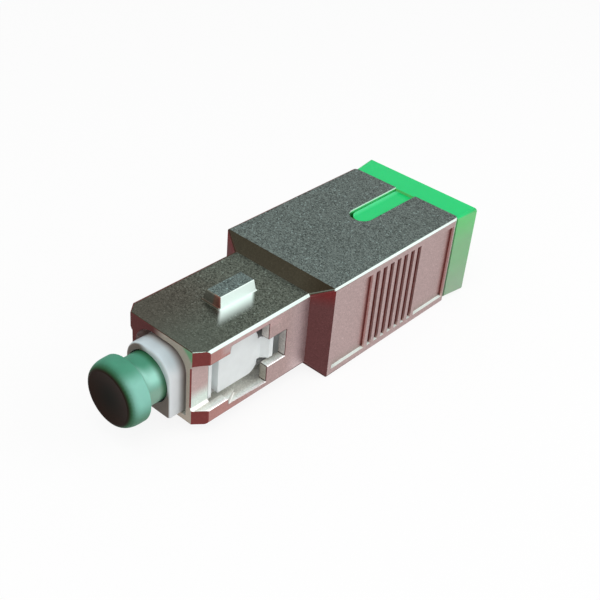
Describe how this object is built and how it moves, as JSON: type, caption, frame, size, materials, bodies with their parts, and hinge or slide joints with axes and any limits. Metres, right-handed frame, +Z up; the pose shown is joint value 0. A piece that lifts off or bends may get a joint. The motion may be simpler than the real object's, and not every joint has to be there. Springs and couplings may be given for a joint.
{
  "type": "fibre optic attenuator",
  "caption": "Push-pull plug to receptacle fixed fibre attenuator: die-cast metal body, sprung ferrule, latch hooks, dust cap and dust plug.",
  "frame": {"origin": "under the middle of the overall length, on the plane of the block's lower face that the part rests on", "axes": "+X along the fibre axis from the plug end to the receptacle end, +Z up on the key side, +Y to the left seen from the plug end"},
  "size_m": [0.0398, 0.0132, 0.0094],
  "materials": {
    "nickel_plate": "sand-cast satin nickel plate",
    "white_plastic": "moulded, satin",
    "holder_plastic": "moulded, satin",
    "hook_plastic": "moulded, satin",
    "sleeve_ceramic": "ground zirconia",
    "ferrule_ceramic": "polished zirconia",
    "flange_metal": "turned, nickel plated",
    "fibre_glass": "clear",
    "spring_steel": "drawn wire",
    "teal_plastic": "moulded, semi-gloss",
    "green_plastic": "moulded, slightly translucent"
  },
  "bodies": {
    "housing": {"metal_housing": "nickel_plate"},
    "core": {"plug_frame": "white_plastic", "sleeve_holder": "holder_plastic", "latch_hook_body": "hook_plastic", "split_sleeve": "sleeve_ceramic", "ferrule_spring": "spring_steel"},
    "ferrule_assembly": {"ferrule": "ferrule_ceramic", "ferrule_flange": "flange_metal", "attenuating_fibre": "fibre_glass"},
    "dust_cap": {"ferrule_dust_cap": "teal_plastic"},
    "dust_plug": {"receptacle_dust_plug": "green_plastic"}
  },
  "joints": [
    {"name": "grip_slide", "type": "slide", "parent": "housing", "child": "core", "axis": [1, 0, 0], "range_m": [0, 0.001]},
    {"name": "ferrule_float", "type": "slide", "parent": "core", "child": "ferrule_assembly", "axis": [1, 0, 0], "range_m": [0, 0.0006], "stiffness_N_per_m": 1500, "springref_m": -0.005, "deforming": ["ferrule_spring"]},
    {"name": "cap_pull", "type": "slide", "parent": "ferrule_assembly", "child": "dust_cap", "axis": [-1, 0, 0], "range_m": [0, 0.0085]},
    {"name": "plug_pull", "type": "slide", "parent": "housing", "child": "dust_plug", "axis": [1, 0, 0], "range_m": [0, 0.0105]}
  ]
}
